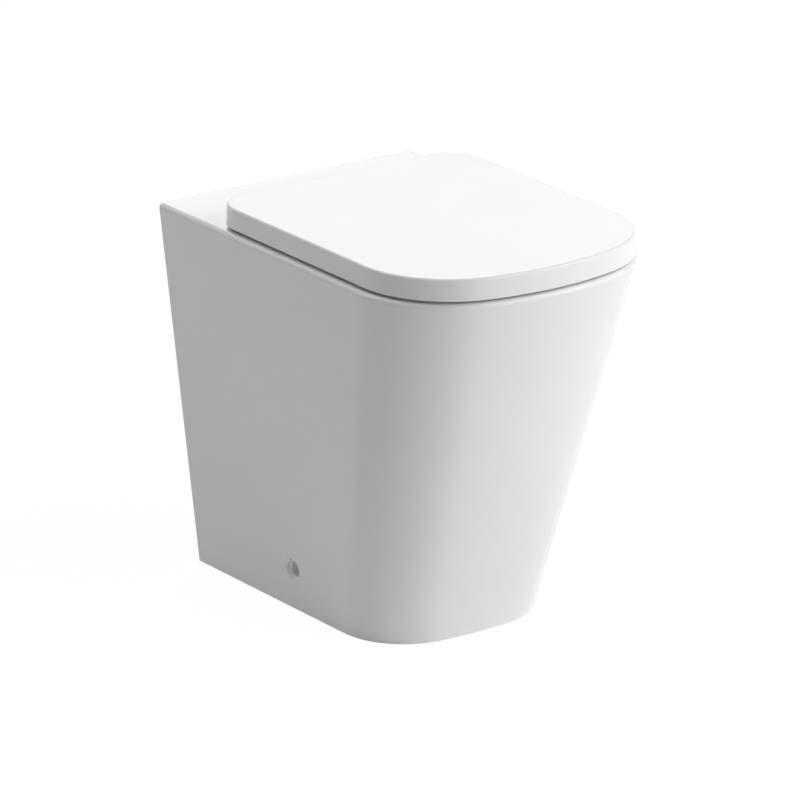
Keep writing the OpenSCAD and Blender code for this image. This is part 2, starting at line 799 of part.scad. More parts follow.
module lid() {
  color(colour_plastic) difference() {
    union() {
      difference() {
        lid_shell();
        // Notches in the rear skirt, where the lid turns past the hinges
        at_both_sides()
          translate([notch_x0, lid_rear_y - lid_skirt_t - 2, lid_bottom_z - past])
            cube([notch_x1 - notch_x0, lid_skirt_t + 4, lid_ceiling_z - lid_bottom_z + past]);
      }
      at_both_sides()
        translate([lug_inner_x0, 0, 0]) rotate([90, 0, 90]) linear_extrude(lug_w) lid_lug_profile();
    }
    // The rotor turns the lug on the left, and the lug on the right turns on a plain pin
    along_x(lug_inner_x0 - past, lug_inner_x1 + past, axis_y, axis_z, pivot_r + running);
    mirror([1, 0, 0]) keyed_bore(lug_inner_x0 - past, lug_inner_x1 + past);
  }
}

// Two buffers that carry the lid on the seat
module lid_buffers() {
  color(colour_nylon) at_both_sides()
    translate([147, -150, seat_top_z]) cylinder(h = lid_ceiling_z - seat_top_z, r = 8);
}

// The rotor on the right is keyed to the seat, and the one on the left to the lid
module seat_rotor() {
  translate([lug_outer_x1 - rotor_end_gap, 0, 0]) mirror([1, 0, 0]) rotor();
}

module lid_rotor() {
  left() translate([lug_inner_x0 + rotor_end_gap, 0, 0]) rotor();
}

module left() {
  mirror([1, 0, 0]) children();
}

pan();
left() floor_bracket();  // floor_bracket_left
floor_bracket();  // floor_bracket_right
left() side_screw();  // side_screw_left
side_screw();  // side_screw_right
left() side_sleeve();  // side_sleeve_left
side_sleeve();  // side_sleeve_right
left() cover_cap();  // cover_cap_left
cover_cap();  // cover_cap_right
left() hinge_post();  // hinge_post_left
hinge_post();  // hinge_post_right
left() post_plate();  // post_plate_left
post_plate();  // post_plate_right
left() post_gasket();  // post_gasket_left
post_gasket();  // post_gasket_right
left() deck_sleeve();  // deck_sleeve_left
deck_sleeve();  // deck_sleeve_right
left() wing_nut();  // wing_nut_left
wing_nut();  // wing_nut_right
left() hinge_block();  // hinge_block_left
hinge_block();  // hinge_block_right
left() damper(1);  // damper_left
damper(-1);  // damper_right
left() latch_clip();  // latch_clip_left
latch_clip();  // latch_clip_right
left() release_button();  // release_button_left
release_button();  // release_button_right
seat();
seat_buffers();
seat_rotor();
lid();
lid_buffers();
lid_rotor();
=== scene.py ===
"""A back to wall toilet: a one-piece ceramic pan with a wrap-over lid and a seat on lift-off hinges."""

import math

import bmesh
import bpy
from mathutils import Matrix, Vector


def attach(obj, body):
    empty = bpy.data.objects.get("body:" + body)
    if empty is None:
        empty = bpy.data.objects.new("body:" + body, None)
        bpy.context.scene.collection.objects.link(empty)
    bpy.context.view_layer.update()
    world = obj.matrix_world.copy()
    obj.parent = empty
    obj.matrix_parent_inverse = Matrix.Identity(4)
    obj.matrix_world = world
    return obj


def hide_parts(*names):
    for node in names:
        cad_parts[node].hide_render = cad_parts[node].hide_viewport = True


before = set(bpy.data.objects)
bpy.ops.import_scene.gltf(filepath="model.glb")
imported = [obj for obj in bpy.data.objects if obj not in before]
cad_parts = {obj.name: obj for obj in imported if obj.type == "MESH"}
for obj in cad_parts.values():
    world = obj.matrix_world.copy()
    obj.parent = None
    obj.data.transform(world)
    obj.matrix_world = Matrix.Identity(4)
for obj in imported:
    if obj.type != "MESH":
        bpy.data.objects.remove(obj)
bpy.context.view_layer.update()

# ---- Studio: a pale floor that runs into white, and eight large soft lamps around the piece, the four
# strongest on its right. Reflections show the white room, and the floor keeps the object's shadow.


def linear(hex_colour):
    """An sRGB hex colour as linear RGBA."""
    parts = [int(hex_colour[i : i + 2], 16) / 255 for i in (1, 3, 5)]
    return [c / 12.92 if c <= 0.04045 else ((c + 0.055) / 1.055) ** 2.4 for c in parts] + [1.0]


def add_node(tree, kind, settings=None, **inputs):
    """A node with its settings and its inputs. An input is a value, or an output socket to link from. It goes
    by its name, with _ for a space, or by its number as i0, i1 and so on."""
    made = tree.nodes.new(kind)
    for key, value in (settings or {}).items():
        setattr(made, key, value)
    for key, value in inputs.items():
        numbered = key[0] == "i" and key[1:].isdigit()
        socket = made.inputs[int(key[1:]) if numbered else key.replace("_", " ")]
        if isinstance(value, bpy.types.NodeSocket):
            tree.links.new(value, socket)
        else:
            socket.default_value = value
    return made


def seen_directly(tree):
    """1 for a ray from the camera, off a glossy surface or through glass, and 0 for the rays that light."""
    ray = add_node(tree, "ShaderNodeLightPath")
    mirrored = add_node(tree, "ShaderNodeMath", {"operation": "MAXIMUM"}, i0=ray.outputs["Is Glossy Ray"],
                        i1=ray.outputs["Is Transmission Ray"])
    direct = add_node(tree, "ShaderNodeMath", {"operation": "MAXIMUM"}, i0=ray.outputs["Is Camera Ray"],
                      i1=mirrored.outputs[0])
    return direct.outputs[0]


scene = bpy.context.scene
scene.view_settings.view_transform = "Standard"

world = bpy.data.worlds.new("white_studio")
world.use_nodes = True
tree = world.node_tree
tree.nodes.clear()
scene.world = world
fill = add_node(tree, "ShaderNodeBackground", Color=linear("#FFFFFF"), Strength=0.01)
white = add_node(tree, "ShaderNodeBackground", Color=linear("#FFFFFF"), Strength=1.0)
both = add_node(tree, "ShaderNodeMixShader", i0=seen_directly(tree), i1=fill.outputs[0], i2=white.outputs[0])
add_node(tree, "ShaderNodeOutputWorld", Surface=both.outputs[0])

# The floor lies a hair below the foot. It lights the piece as matt paint does. Seen directly it glows nearly
# white by itself, and the little light that it takes up shows the shadow.
floor_radius, floor_z = 9.0, -0.0003
floor_bm = bmesh.new()
bmesh.ops.create_circle(floor_bm, cap_ends=True, segments=64, radius=floor_radius,
                        matrix=Matrix.Translation((0, 0, floor_z)))
floor_mesh = bpy.data.meshes.new("floor")
floor_bm.to_mesh(floor_mesh)
floor_bm.free()
floor = bpy.data.objects.new("floor", floor_mesh)
scene.collection.objects.link(floor)
floor_paint = bpy.data.materials.new("matt_white_floor")
floor_paint.use_nodes = True
tree = floor_paint.node_tree
tree.nodes.clear()
matt = add_node(tree, "ShaderNodeBsdfDiffuse", Color=linear("#F4F4F4"))
bright = add_node(tree, "ShaderNodeEmission", Color=linear("#FFFFFF"), Strength=0.94)
faint = add_node(tree, "ShaderNodeBsdfDiffuse", Color=linear("#5E5E5E"))
shaded_white = add_node(tree, "ShaderNodeAddShader", i0=bright.outputs[0], i1=faint.outputs[0])
mixed = add_node(tree, "ShaderNodeMixShader", i0=seen_directly(tree), i1=matt.outputs[0], i2=shaded_white.outputs[0])
add_node(tree, "ShaderNodeOutputMaterial", Surface=mixed.outputs[0])
floor_mesh.materials.append(floor_paint)

lamp_size = 3.0
lamp_aim = Vector((0, 0, 0.25))


def softbox(name, place, power):
    """A large square lamp aimed at the middle of the piece, with its power in watts."""
    lamp = bpy.data.lights.new(name, "AREA")
    lamp.shape = "RECTANGLE"
    lamp.size = lamp.size_y = lamp_size
    lamp.energy = power
    holder = bpy.data.objects.new(name, lamp)
    scene.collection.objects.link(holder)
    holder.location = place
    holder.rotation_euler = (lamp_aim - Vector(place)).to_track_quat("-Z", "Y").to_euler()


softbox("softbox_left_high", (-1.52, 0.88, 3.85), 33.5)
softbox("softbox_rear_left", (-1.58, 2.73, 2.71), 30.0)
softbox("softbox_rear_right", (1.58, 2.73, 2.71), 36.0)
softbox("softbox_front", (0.0, -3.91, 1.08), 18.0)
softbox("softbox_right_low", (1.96, -3.39, 1.08), 45.0)
softbox("softbox_right_high", (1.58, -2.73, 2.71), 38.0)
softbox("softbox_side_low", (3.39, -1.96, 1.08), 28.0)
softbox("softbox_side_high", (2.73, -1.58, 2.71), 25.0)

# The camera stands where the photograph was taken from: a long lens, a little above the lid
camera_azimuth = math.radians(-35.788)
camera_elevation = math.radians(19.903)
camera_distance = 6.75
camera_target = Vector((0, -0.01925, 0.1881))
pixels_wide = 800
pixels_per_unit_tangent = 5902.5
image_centre = (427.86, 454.01)
camera = bpy.data.cameras.new("camera")
camera.sensor_width = 36
camera.lens = pixels_per_unit_tangent / pixels_wide * camera.sensor_width
camera.shift_x = (pixels_wide / 2 - image_centre[0]) / pixels_wide
camera.shift_y = (image_centre[1] - pixels_wide / 2) / pixels_wide
camera.clip_end = 100
back = Vector((
    math.sin(camera_azimuth) * math.cos(camera_elevation),
    -math.cos(camera_azimuth) * math.cos(camera_elevation),
    math.sin(camera_elevation),
))
stand = bpy.data.objects.new("camera", camera)
scene.collection.objects.link(stand)
stand.location = camera_target + back * camera_distance
stand.rotation_euler = (-back).to_track_quat("-Z", "Y").to_euler()
scene.camera = stand

# ---- Pan: one slip-cast and fired piece of vitreous china. White opaque glaze covers the outside, the
# bowl and the waterways; the hollow behind is bare fired clay. It stands on its foot against the wall.


def sine(degrees):
    return math.sin(math.radians(degrees))


def cosine(degrees):
    return math.cos(math.radians(degrees))


def arc(centre, radius, start, end, steps, first=0):
    """Points on an arc, angles in degrees, from the point numbered first."""
    turns = [math.radians(start + (end - start) * i / steps) for i in range(first, steps + 1)]
    return [Vector((centre[0] + radius * math.cos(a), centre[1] + radius * math.sin(a))) for a in turns]


def outline(half_width, taper, rear, depth, corner_r, front_r, rear_r, side_steps=6, steps=20, rear_steps=4,
            back_steps=1):
    """A plan outline in millimetres: straight sides, round corners and a shallow arc across the front."""
    lean = math.radians(taper)
    forward = Vector((-math.sin(lean), -math.cos(lean)))
    front = Vector((0, rear - depth + front_r))
    start = Vector((half_width, rear)) + corner_r * Vector((-math.cos(lean), math.sin(lean)))
    b = (start - front).dot(forward)
    c = (start - front).length_squared - (front_r - corner_r) ** 2
    corner = start + (math.sqrt(b * b - c) - b) * forward
    join = math.degrees(math.atan2(corner.y - front.y, corner.x))
    half = arc((half_width - rear_r, rear - rear_r), rear_r, 90, 0, rear_steps)
    bend = arc(corner, corner_r, -taper, join, steps)
    half += [half[-1].lerp(bend[0], i / side_steps) for i in range(1, side_steps)]
    half += bend + arc(front, front_r, join, -90, steps // 2, 1)
    line = half + [Vector((-p.x, p.y)) for p in reversed(half[:-1])]
    return line + [line[-1].lerp(line[0], i / back_steps) for i in range(1, back_steps)]


def lifted(points, height):
    return [Vector((p.x, p.y, height)) for p in points]


def loft(rings, looped=False):
    """A closed solid: a grid wrapped through the rings and its seam welded. Its ends are filled, or the last
    ring is joined to the first."""
    rows = rings + rings[:1] if looped else rings
    solid = bmesh.new()
    bmesh.ops.create_grid(solid, x_segments=len(rows[0]), y_segments=len(rows) - 1, size=1)
    for vert, point in zip(solid.verts, [p for row in rows for p in row + row[:1]]):
        vert.co = point
    bmesh.ops.remove_doubles(solid, verts=solid.verts, dist=1e-4)
    bmesh.ops.holes_fill(solid, edges=solid.edges)
    bmesh.ops.recalc_face_normals(solid, faces=solid.faces)
    return solid


def turned(profile, place=Matrix(), segments=48):
    """A closed turned solid: a profile of (distance along, radius) spun about Z and set in place."""
    solid = bmesh.new()
    verts = [solid.verts.new((radius, 0, along)) for along, radius in profile]
    edges = [solid.edges.new(pair) for pair in zip(verts, verts[1:])]
    bmesh.ops.spin(solid, geom=verts + edges, cent=(0, 0, 0), axis=(0, 0, 1), angle=math.tau, steps=segments,
                   use_merge=True)
    bmesh.ops.remove_doubles(solid, verts=solid.verts, dist=1e-4)
    bmesh.ops.recalc_face_normals(solid, faces=solid.faces)
    solid.transform(place)
    return solid


def block(low, high):
    """A box between two corners."""
    solid = bmesh.new()
    middle = (Vector(low) + Vector(high)) / 2
    size = Vector(high) - Vector(low)
    bmesh.ops.create_cube(solid, size=1, matrix=Matrix.Translation(middle) @ Matrix.Diagonal((*size, 1)))
    return solid


def along(direction, origin):
    """Turns Z to a direction at an origin."""
    return Matrix.Translation(origin) @ Vector(direction).to_track_quat("Z", "Y").to_matrix().to_4x4()


def flipped(solid):
    """A mirrored copy of a solid for the other side."""
    other = solid.copy()
    bmesh.ops.scale(other, vec=(-1, 1, 1), verts=other.verts)
    bmesh.ops.reverse_faces(other, faces=other.faces)
    return other


def combined(solid, steps, materials=()):
    """The solid after a list of steps: ("UNION" or "DIFFERENCE", other solid, its material number) or
    ("BEVEL", width, segments, angle)."""
    def shown(bm, number):
        mesh = bpy.data.meshes.new("working")
        for material in materials:
            mesh.materials.append(material)
        for face in bm.faces:
            face.material_index = number
        bm.to_mesh(mesh)
        bm.free()
        working = bpy.data.objects.new("working", mesh)
        scene.collection.objects.link(working)
        return working

    whole = shown(solid, 0)
    spent = [whole]
    for step in steps:
        if step[0] == "BEVEL":
            edge = whole.modifiers.new("edge", "BEVEL")
            edge.width, edge.segments, edge.angle_limit = step[1], step[2], math.radians(step[3])
            edge.limit_method = "ANGLE"
            continue
        spent.append(shown(step[1], step[2] if len(step) > 2 else 0))
        cut = whole.modifiers.new("cut", "BOOLEAN")
        cut.operation, cut.object, cut.solver = step[0], spent[-1], "MANIFOLD"
        if materials:
            cut.material_mode = "TRANSFER"
    done = bmesh.new()
    done.from_mesh(bpy.data.meshes.new_from_object(whole.evaluated_get(bpy.context.evaluated_depsgraph_get())))
    bmesh.ops.dissolve_degenerate(done, edges=done.edges, dist=0.001)
    for working in spent:
        mesh = working.data
        bpy.data.objects.remove(working)
        bpy.data.meshes.remove(mesh)
    return done


def piece(name, solid, body, materials, replaces, crease=34):
    """A finished piece: a solid in millimetres made a mesh in metres, shaded, and riding on its body."""
    bmesh.ops.scale(solid, vec=(0.001, 0.001, 0.001), verts=solid.verts)
    mesh = bpy.data.meshes.new(name)
    solid.to_mesh(mesh)
    solid.free()
    for material in materials:
        mesh.materials.append(material)
    mesh.shade_smooth()
    mesh.set_sharp_from_angle(angle=math.radians(crease))
    made = bpy.data.objects.new(name, mesh)
    scene.collection.objects.link(made)
    even = made.modifiers.new("even_normals", "WEIGHTED_NORMAL")
    even.keep_sharp = True
    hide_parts(*replaces)
    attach(made, body)
    return made


rim_height = 450
edge_r = 6
wall_y = 262
rim_plan = (178.4, -0.165, wall_y, 524, 125, 350, 2)
foot_plan = (130, 1.0, wall_y, 377, 84, 450, 2)


def drawn_in(plan, distance, rear_shift=0.0):
    """A plan drawn in at the sides and front, with its rear moved by rear_shift."""
    half, taper, rear, depth, corner_r, front_r, rear_r = plan
    return (half - distance, taper, rear + rear_shift, depth + rear_shift - distance, corner_r - distance,
            front_r - distance, rear_r + min(0, rear_shift))


def plan_at(height):
    return tuple(f + (r - f) * height / (rim_height - edge_r) for f, r in zip(foot_plan, rim_plan))


# Outside: straight lines from foot to rim, then an edge that rolls over onto the deck
foot_line = outline(*foot_plan)
rim_line = outline(*rim_plan)
deck_line = outline(*drawn_in(rim_plan, edge_r))
leans = []
for low, high, inner in zip(foot_line, rim_line, deck_line):
    out = (high - inner).normalized()
    leans.append(math.atan2((high - low).dot(out), rim_height - edge_r))


def rolled(k, share):
    """Point k of the rolled edge, from where it leaves the wall at 0 to the deck at 1."""
    turn = -leans[k] + share * (math.pi / 2 + leans[k])
    flat = rim_line[k].lerp(deck_line[k], 1 - math.cos(turn))
    return Vector((flat.x, flat.y, rim_height - edge_r + edge_r * math.sin(turn)))


wall_steps = 10
roll_steps = 12
count = range(len(foot_line))
foot_ring = lifted(foot_line, 0)
rings = [[foot_ring[k].lerp(rolled(k, 0), i / wall_steps) for k in count] for i in range(wall_steps)]
rings += [[rolled(k, i / roll_steps) for k in count] for i in range(roll_steps + 1)]
skirt = loft(rings)

# Hollow of the skirt, open at the back and below, with a thicker foot
skirt_t, foot_t, foot_high, deck_t = 11, 17, 30, 14
ceiling = rim_height - deck_t
cove = 12
foot_steps, cove_steps = 6, 7


def hollow_ring(wall, height):
    """A section of the hollow, inside a wall of a thickness and a millimetre past the back."""
    return lifted(outline(*drawn_in(plan_at(max(height, 0)), wall, 1)), height)


rings = [hollow_ring(foot_t, -1)]
for i in range(foot_steps + 1):
    swell = (1 - math.cos(math.pi * i / foot_steps)) / 2
    rings.append(hollow_ring(foot_t + (skirt_t - foot_t) * swell, foot_high * i / foot_steps))
rings += [hollow_ring(skirt_t, height) for height in (100, 200, 300, ceiling - cove)]
for i in range(1, cove_steps + 1):
    turn = 90 * i / cove_steps
    rings.append(hollow_ring(skirt_t + cove * (1 - cosine(turn)), ceiling - cove + cove * sine(turn)))
hollow = loft(rings)

# Bowl: rounded sections that widen from the sump to the mouth
mouth_front, mouth_rear, mouth_width = -220, 88, 262
sump_z, sump_width, sump_front, sump_rear = 84, 56, -117.8, -31.8
sump_share, sump_sweep, front_bow = 0.1, 20, 10
bowl_points = 96


def bowl_ring(level, wall, height):
    """One section of the bowl, from the sump at level 0 to the mouth at 1, drawn out by wall."""
    swell = math.sin(math.pi / 2 * level**0.8) ** 0.9
    half_width = (sump_width + (mouth_width - sump_width) * swell) / 2 + wall
    if level < sump_share:
        rear = sump_rear - sump_sweep * (1 - level / sump_share) ** 2
    else:
        rear = mouth_rear - (mouth_rear - sump_rear) * (1 - level) / (1 - sump_share)
    front = sump_front + (mouth_front - sump_front) * level - front_bow * math.sin(math.pi * level)
    half_length = (rear - front) / 2 + wall
    power = 2 / (2.1 + 0.9 * level)
    ring = []
    for i in range(bowl_points):
        turn = math.tau * i / bowl_points
        c, s = math.cos(turn), math.sin(turn)
        ring.append(Vector((
            math.copysign(half_width * abs(c) ** power, c),
            (front + rear) / 2 + math.copysign(half_length * abs(s) ** power, s),
            height,
        )))
    return ring


bowl_t = 9
wall_rings = 26
levels = [0, 0.006, 0.02, 0.04, 0.07]
levels += [sump_share + (1 - sump_share) * i / wall_rings for i in range(wall_rings + 1)]
outer_top = rim_height - deck_t / 2
low = sump_z - bowl_t
bowl_shell = loft([bowl_ring(t, bowl_t, low + (outer_top - low) * t) for t in levels])
lip = 5
bowl_space = loft(
    [bowl_ring(t, 0, sump_z + (rim_height - lip - sump_z) * t) for t in levels]
    + [bowl_ring(1, lip * (1 - cosine(a)), rim_height - lip + lip * sine(a)) for a in range(15, 91, 15)]
    + [bowl_ring(1, lip, rim_height + 3)]
)

def only(kind, parts):
    return [part for part in parts if isinstance(part, kind)]


# Waterway: in from the sump, up over the weir, down, and out level through the spigot
water_r = 36
entry_y, entry_z, rise_r, fall_r = -23.8, 123, 61, 47
outlet_z, spigot_end, straight = 185, 225, 30
crest_y = entry_y + 2 * rise_r
fall_turn = math.acos(1 - (entry_z + 2 * rise_r - outlet_z) / (rise_r + fall_r))


def waterway(radius, start_y, end_y):
    """A round pipe bent along the trap's centre line."""
    solid = bmesh.new()
    ring = bmesh.ops.create_circle(solid, segments=56, radius=radius, matrix=along((0, 1, 0), (0, start_y, entry_z)))
    end = {"geom": ring["verts"] + solid.edges[:]}

    def pulled(distance):
        end["geom"] = bmesh.ops.extrude_edge_only(solid, edges=only(bmesh.types.BMEdge, end["geom"]))["geom"]
        moved = only(bmesh.types.BMVert, end["geom"])
        bmesh.ops.translate(solid, verts=moved, vec=(0, distance, 0))
        kept = set(moved)
        end["geom"] = moved + [e for e in only(bmesh.types.BMEdge, end["geom"]) if set(e.verts) <= kept]

    def bent(centre_y, centre_z, turn, steps):
        end["geom"] = bmesh.ops.spin(solid, geom=end["geom"], cent=(0, centre_y, centre_z), axis=(1, 0, 0),
                                     angle=turn, steps=steps)["geom_last"]

    pulled(entry_y - start_y)
    bent(entry_y, entry_z + rise_r, math.pi / 2, 12)
    bent(crest_y, entry_z + rise_r, -(math.pi / 2 + fall_turn), 20)
    bent(spigot_end - straight, outlet_z + fall_r, fall_turn, 9)
    pulled(end_y - (spigot_end - straight))
    bmesh.ops.holes_fill(solid, edges=solid.edges)
    bmesh.ops.recalc_face_normals(solid, faces=solid.faces)
    return solid


def pipe(y0, y1, height, radius, soft=0.0):
    """A plug along Y, with a rounded end at y1."""
    end = [(y1 - soft + soft * sine(a), radius - soft + soft * cosine(a))
           for a in ((0, 22.5, 45, 67.5, 90) if soft else (0,))]
    return turned([(y0, 0), (y0, radius)] + end + [(y1, 0)], along((0, 1, 0), (0, 0, height)), 64)


spigot_r, spigot_l = 51, 34
inlet_z, inlet_mouth, inlet_r, inlet_l, passage_r = 338, 222, 27.5, 48, 20
web_y, web_t = spigot_end - spigot_l - 12, 12
outlet_flare = turned(
    [(spigot_end - 14, 0), (spigot_end - 14, water_r - 0.5), (spigot_end - 3, 41.5), (spigot_end - 1, 43.2),
     (spigot_end + 1, 46), (spigot_end + 1, 0)],
    along((0, 1, 0), (0, 0, outlet_z)), 64)
inlet_bore = turned(
    [(inlet_mouth - inlet_l, 0), (inlet_mouth - inlet_l, inlet_r - 1), (inlet_mouth - inlet_l + 1, inlet_r),
     (inlet_mouth - 2, inlet_r), (inlet_mouth - 0.6, inlet_r + 0.6), (inlet_mouth + 1, inlet_r + 3),
     (inlet_mouth + 1, 0)],
    along((0, 1, 0), (0, 0, inlet_z)), 64)

# Holes: two through the deck for the seat, and one in each side for the hidden fixing
fixing_x, fixing_y = 77.5, 131.6
at_post = Matrix.Translation((fixing_x, fixing_y, 0))
deck_hole_r = 7.5
deck_hole = turned(
    [(ceiling - 2, 0), (ceiling - 2, deck_hole_r + 2), (ceiling, deck_hole_r + 1), (ceiling + 1.2, deck_hole_r),
     (rim_height - 1.2, deck_hole_r), (rim_height - 0.3, deck_hole_r + 0.5), (rim_height + 0.5, deck_hole_r + 1.5),
     (rim_height + 0.5, 0)], at_post)
side_y, side_z, side_r = 62, 51, 12
side_lean = math.atan2(rim_plan[0] - foot_plan[0], rim_height - edge_r)
side_plan = plan_at(side_z)
side_x = side_plan[0] - (wall_y - side_y) * math.tan(math.radians(side_plan[1]))
boss_t = 22
side_hole = turned([(-boss_t - 2, 0), (-boss_t - 2, side_r), (6, side_r), (6, 0)],
                   along((1, 0, 0), (side_x, side_y, side_z)), 64)
lip_r = 2.2
side_lip = turned(
    [(-lip_r - 1, 0), (-lip_r - 1, side_r - 0.4)]
    + [(-lip_r + lip_r * sine(a), side_r - 0.1 + lip_r * (1 - cosine(a))) for a in range(0, 91, 15)]
    + [(2, side_r + lip_r), (2, 0)],
    along((math.cos(side_lean), math.tan(math.radians(side_plan[1])), -math.sin(side_lean)),
          (side_x, side_y, side_z)), 64)
side_boss = turned([(-boss_t, 0), (-boss_t, side_r + 8), (-boss_t + 2, side_r + 10), (-5.5, side_r + 10), (-5.5, 0)],
                   along((1, 0, 0), (side_x, side_y, side_z)), 48)


def finish(name, **constants):
    """A material with its whole-surface values on its own shader, the tree to add detail to, and the place on
    the object that its patterns follow."""
    material = bpy.data.materials.new(name)
    material.use_nodes = True
    tree = material.node_tree
    tree.nodes.clear()
    shader = add_node(tree, "ShaderNodeBsdfPrincipled", **constants)
    add_node(tree, "ShaderNodeOutputMaterial", Surface=shader.outputs[0])
    return material, tree, shader, add_node(tree, "ShaderNodeTexCoord").outputs["Object"]


def noise(tree, place, **settings):
    return add_node(tree, "ShaderNodeTexNoise", Vector=place, **settings).outputs["Fac"]


def wandering(tree, shader, pattern, tones, roughness):
    """Lets the colour and the roughness wander between two values with a pattern."""
    tone = add_node(tree, "ShaderNodeMix", {"data_type": "RGBA"}, i0=pattern, i6=linear(tones[0]),
                    i7=linear(tones[1]))
    tree.links.new(tone.outputs[2], shader.inputs["Base Color"])
    sheen = add_node(tree, "ShaderNodeMapRange", Value=pattern, To_Min=roughness[0], To_Max=roughness[1])
    tree.links.new(sheen.outputs[0], shader.inputs["Roughness"])


def embossed(tree, shader, *layers):
    """Presses patterns into the surface, each given as its height, strength and depth in metres."""
    under = {}
    for height, strength, depth in layers:
        relief = add_node(tree, "ShaderNodeBump", Strength=strength, Distance=depth, Height=height, **under)
        under = {"Normal": relief.outputs[0]}
    tree.links.new(relief.outputs[0], shader.inputs["Normal"])


# White vitreous glaze: fired glass over a white body. It is mirror-smooth up close, with the faint,
# slow ripple of a flowed glaze in its reflections and a barely warmer tone where it pools.
glaze, tree, shader, place = finish("white_china_glaze", IOR=1.5)
pooling = noise(tree, place, Scale=9.0, Detail=2.0, Roughness=0.5)
pinholes = noise(tree, place, Scale=420.0, Detail=1.0, Roughness=0.5)
ripple = noise(tree, place, Scale=55.0, Detail=1.0, Roughness=0.4)
wandering(tree, shader, pooling, ("#F3F3F3", "#F0F0EF"), (0.07, 0.11))
embossed(tree, shader, (pinholes, 0.5, 0.00001), (ripple, 0.6, 0.00003))

# Bare fired clay: matt, biscuit-white, with the grain of the slip and darker patches from the kiln. The
# glaze sprayed on the outside runs a little way in round the open back, so the edge there is whiter.
clay, tree, shader, place = finish("bare_fired_clay", IOR=1.45)
patches = noise(tree, place, Scale=14.0, Detail=4.0, Roughness=0.6)
biscuit = add_node(tree, "ShaderNodeMix", {"data_type": "RGBA"}, i0=patches, i6=linear("#E2DDD3"),
                   i7=linear("#CDC6B9"))
depth = add_node(tree, "ShaderNodeSeparateXYZ", Vector=place)
wander = add_node(tree, "ShaderNodeMath", {"operation": "MULTIPLY_ADD"}, i0=patches, i1=0.045, i2=depth.outputs["Y"])
spray = add_node(tree, "ShaderNodeMapRange", {"interpolation_type": "SMOOTHSTEP"}, Value=wander.outputs[0],
                 From_Min=0.262, From_Max=0.276)
skin = add_node(tree, "ShaderNodeMix", {"data_type": "RGBA"}, i0=spray.outputs[0], i6=biscuit.outputs[2],
                i7=linear("#EFEFED"))
tree.links.new(skin.outputs[2], shader.inputs["Base Color"])
matt = add_node(tree, "ShaderNodeMapRange", Value=spray.outputs[0], To_Min=0.82, To_Max=0.22)
tree.links.new(matt.outputs[0], shader.inputs["Roughness"])
grain = noise(tree, place, Scale=900.0, Detail=3.0, Roughness=0.65)
swirl = noise(tree, place, Scale=35.0, Detail=2.0, Roughness=0.5)
embossed(tree, shader, (grain, 0.55, 0.0002), (swirl, 0.5, 0.0008))

# The rear web ties the spigot to both sides. The flush passage's pipe starts inside the wall of the bowl.
web_half, web_low, web_high = 136, outlet_z - spigot_r - 8, outlet_z - spigot_r + 26
casting = combined(skirt, [
    ("DIFFERENCE", hollow, 1),
    ("BEVEL", 2.2, 3, 50),
    ("UNION", bowl_shell, 1),
    ("UNION", waterway(water_r + bowl_t, entry_y - 20, spigot_end - 6), 1),
    ("UNION", pipe(spigot_end - spigot_l, spigot_end, outlet_z, spigot_r, 3), 1),
    ("UNION", pipe(mouth_rear - 52, inlet_mouth - 1, inlet_z, passage_r + bowl_t), 1),
    ("UNION", pipe(inlet_mouth - inlet_l - bowl_t, inlet_mouth, inlet_z, inlet_r + bowl_t, 2.5), 1),
    ("UNION", block((-web_half, web_y, web_low), (web_half, web_y + web_t, web_high)), 1),
    ("UNION", flipped(side_boss), 1),
    ("UNION", side_boss, 1),
    ("DIFFERENCE", bowl_space, 0),
    ("DIFFERENCE", waterway(water_r, entry_y - 30, spigot_end - 4), 0),
    ("DIFFERENCE", outlet_flare, 0),
    ("DIFFERENCE", pipe(mouth_rear - 60, inlet_mouth, inlet_z, passage_r), 0),
    ("DIFFERENCE", inlet_bore, 0),
    ("DIFFERENCE", flipped(deck_hole), 0),
    ("DIFFERENCE", deck_hole, 0),
    ("DIFFERENCE", flipped(side_hole), 0),
    ("DIFFERENCE", side_hole, 0),
    ("DIFFERENCE", flipped(side_lip), 0),
    ("DIFFERENCE", side_lip, 0),
], (glaze, clay))
piece("glazed_pan", casting, "pan", (glaze, clay), ["pan"])

# ---- Side fixings: on each side a nylon angle stands on the floor inside the skirt. A steel screw goes
# through a nylon cup in the china and bites into its boss, and a white cap closes the hole.


def eased(solid, width, segments=2, angle=35, axis=None):
    """A solid with its sharp edges rounded, all of them or only those along one axis."""
    sharp = [e for e in solid.edges if e.is_manifold and e.calc_face_angle(0) > math.radians(angle)]
    if axis is not None:
        sharp = [e for e in sharp if abs((e.verts[0].co - e.verts[1].co).normalized()[axis]) > 0.999]
    bmesh.ops.bevel(solid, geom=sharp, offset=width, segments=segments, affect="EDGES", profile=0.5, material=-1,
                    clamp_overlap=True)
    return solid


def pulled_out(corners, shift):
    """A closed solid: a flat face pulled out by a shift."""
    solid = bmesh.new()
    face = solid.faces.new([solid.verts.new(corner) for corner in corners])
    pulled = bmesh.ops.extrude_face_region(solid, geom=[face])["geom"]
    bmesh.ops.translate(solid, verts=only(bmesh.types.BMVert, pulled), vec=shift)
    bmesh.ops.recalc_face_normals(solid, faces=solid.faces)
    return solid


def prism(profile, x0, x1):
    """A closed solid: a side view drawn as (y, z) points and pulled out along X."""
    return pulled_out([(x0, p[0], p[1]) for p in profile], (x1 - x0, 0, 0))


def rod(x0, x1, y, z, radius, segments=48):
    """A plain round bar or cutter along X."""
    return turned([(x0, 0), (x0, radius), (x1, radius), (x1, 0)], along((1, 0, 0), (0, y, z)), segments)


